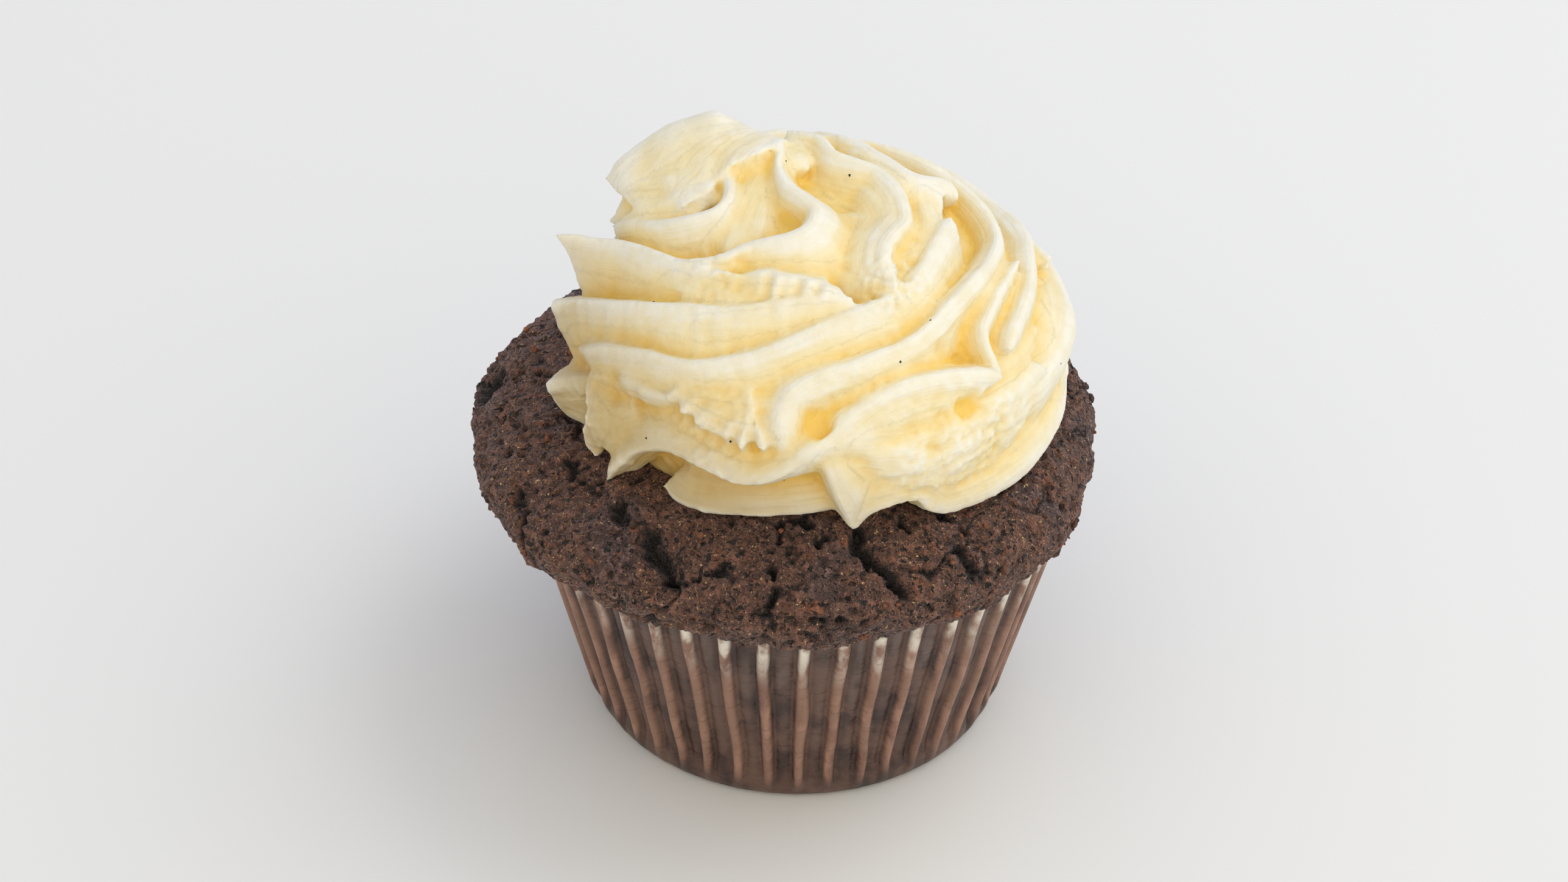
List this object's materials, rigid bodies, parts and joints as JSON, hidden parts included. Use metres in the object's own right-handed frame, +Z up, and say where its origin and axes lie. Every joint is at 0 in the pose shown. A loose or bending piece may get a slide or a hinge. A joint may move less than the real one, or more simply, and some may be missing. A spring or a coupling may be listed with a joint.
{
  "type": "frosted cupcake",
  "caption": "Chocolate cupcake in a pleated paper case, with a piped swirl of vanilla buttercream; it stands on its flat base.",
  "frame": {"origin": "the middle of the paper case's flat base, on the surface that the cupcake stands on", "axes": "+Z up; -Y towards the front, where the lowest curl of icing lies; +X to the right seen from the front"},
  "size_m": [0.0741, 0.0752, 0.0742],
  "materials": {
    "paper_case": "thin pleated baking paper, soaked through with butter, with pale crests and brown valleys",
    "cake": "matte dark chocolate crumb with fine pores and cracks",
    "icing": "cream-coloured buttercream with a soft waxy sheen"
  },
  "bodies": {
    "root": {"paper_case": "paper_case", "cake": "cake", "icing": "icing"}
  },
  "joints": []
}
